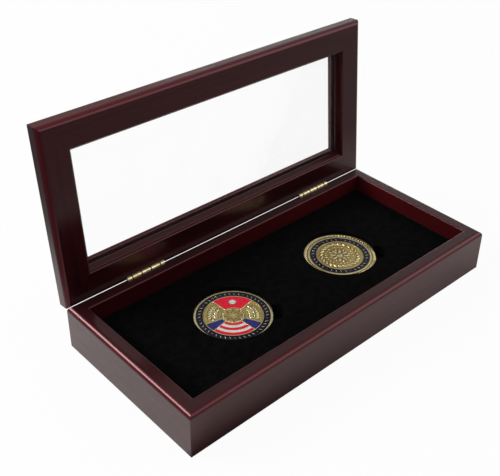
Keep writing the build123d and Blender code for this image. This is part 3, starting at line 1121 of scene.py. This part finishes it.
def ray_kinds(nodes, *kinds):
    """Wires that are 1 for rays of the kinds: camera, glossy or transmission ones."""
    path = nodes.node("ShaderNodeLightPath").socket.node
    return [Wire(nodes, path.outputs[f"Is {kind} Ray"]) for kind in kinds]


PAPER, DIM, DARK = 0.86, 0.42, 0.10     # shades of the floor in mirror images
SEEN_WHITE = 0.95                       # share of plain white where the floor is seen
MIRRORED_WHITE = 0.1                    # the same where it is mirrored
FAR_FROM, FAR_TO = 30, 120              # where it falls off to dim
LEFT_FROM, LEFT_TO = 30, 75             # where it falls off to dark on the left
FRONT_REACH = 16                        # depth of the painted shadow before the front
FRONT_SOFT = 6                          # how far it fades out under the case


def paper(finish, shade):
    return finish.node("ShaderNodeBsdfDiffuse", None, {"Color": (shade, shade, shade, 1)})


def studio_floor():
    """A pale floor: white where it is seen, with the case's soft shadow on it.

    In mirror images it is pale round the case, dim further out, dark far to the left,
    and darker right before the front, where a shadow of the case is painted. Distances are in
    millimetres from the case.
    """
    deselect_all()
    bpy.ops.mesh.primitive_plane_add(size=6, location=(0, 0, 0))
    floor = bpy.context.active_object
    floor.name = "floor"
    finish = Finish("pale floor")
    seen, glossy, through = ray_kinds(finish, "Camera", "Glossy", "Transmission")
    x, y, _ = finish.parts(finish.place())
    clear = (x.size() - half_length / MM).maths("MAXIMUM", y.size() - half_depth / MM)
    far = finish.between(clear, FAR_FROM, FAR_TO) * glossy
    # Painted shadow of the case just before its front, seen only in mirror images, stronger towards
    # the left.
    before = -half_depth / MM - y
    painted_front_shadow = finish.between(before, FRONT_REACH, 0)
    painted_front_shadow = painted_front_shadow * finish.between(before, -FRONT_SOFT, 0) * glossy
    painted_front_shadow = painted_front_shadow * finish.between(x, 60, -100, 0.3, 1.0)
    share = seen * SEEN_WHITE + through * SEEN_WHITE + glossy * MIRRORED_WHITE
    share = share.maths("MINIMUM", SEEN_WHITE)
    share = share * (1 - far) * (1 - painted_front_shadow)
    left_face = -half_length / MM
    leftwards = finish.between(x, left_face - LEFT_FROM, left_face - LEFT_TO) * glossy
    shader, dark = paper(finish, PAPER), paper(finish, DARK)
    white = finish.node("ShaderNodeEmission", None, {"Color": (1, 1, 1, 1), "Strength": 1.0})
    covers = ((far, paper(finish, DIM)), (leftwards, dark), (painted_front_shadow * 0.85, dark))
    for part, cover in (*covers, (share, white)):
        shader = finish.node("ShaderNodeMixShader", None, (part, shader, cover))
    finish.lands_on(shader, "Material Output", "Surface")
    finish.tree.nodes.remove(finish.shader)
    floor.data.materials.append(finish.material)


def sky():
    """White behind the case; for its light and its mirror images, a dim room above."""
    world = bpy.data.worlds.new("studio")
    world.use_nodes = True
    bpy.context.scene.world = world
    nodes = Nodes(world.node_tree)
    seen, through = ray_kinds(nodes, "Camera", "Transmission")
    share = (seen + through).maths("MINIMUM", 1.0)
    rise = nodes.parts(nodes.node("ShaderNodeTexCoord"))[2]
    room = nodes.mix(nodes.between(rise, 0.15, 0.55), (0.12, 0.12, 0.12), (0.46, 0.47, 0.46))
    nodes.lands_on(nodes.mix(share, room, (1, 1, 1)), "Background", "Color")


def softbox(name, place, toward, size, power):
    light = bpy.data.lights.new(name, "AREA")
    light.shape = "RECTANGLE"
    light.size, light.size_y = size
    light.energy = power
    lamp = bpy.data.objects.new(name, light)
    bpy.context.scene.collection.objects.link(lamp)
    lamp.location = place
    lamp.rotation_euler = (Vector(toward) - Vector(place)).to_track_quat("-Z", "Y").to_euler()
    return lamp


studio_floor()
sky()
middle = (0, 0, 0.05)
softbox("key light", place=(-0.90, 0.80, 0.75), toward=middle, size=(0.8, 0.45), power=14)
softbox("fill light", place=(0.90, -0.95, 0.72), toward=middle, size=(1.2, 1.0), power=5)
softbox("low strip", place=(1.05, 1.00, 0.24), toward=(0, 0, 0.03), size=(0.8, 0.18), power=1.5)

LENS, SENSOR = 61.5902, 36              # millimetres
SHIFT_X, SHIFT_Y = -0.057128, -0.067170
EYE = (-0.281432, -0.275690, 0.319892)
HEADING, DOWN, ROLL = radians(-44.4619), radians(32.4544), radians(1.9525)

camera = bpy.data.objects.new("camera", bpy.data.cameras.new("camera"))
bpy.context.scene.collection.objects.link(camera)
camera.data.lens = LENS
camera.data.sensor_width = SENSOR
camera.data.sensor_fit = "HORIZONTAL"
camera.data.shift_x = SHIFT_X
camera.data.shift_y = SHIFT_Y
camera.matrix_world = (
    Matrix.Translation(EYE)
    @ Matrix.Rotation(HEADING, 4, "Z")
    @ Matrix.Rotation(pi / 2 - DOWN, 4, "X")
    @ Matrix.Rotation(ROLL, 4, "Z")
)
bpy.context.scene.camera = camera
bpy.context.scene.view_settings.view_transform = "Standard"
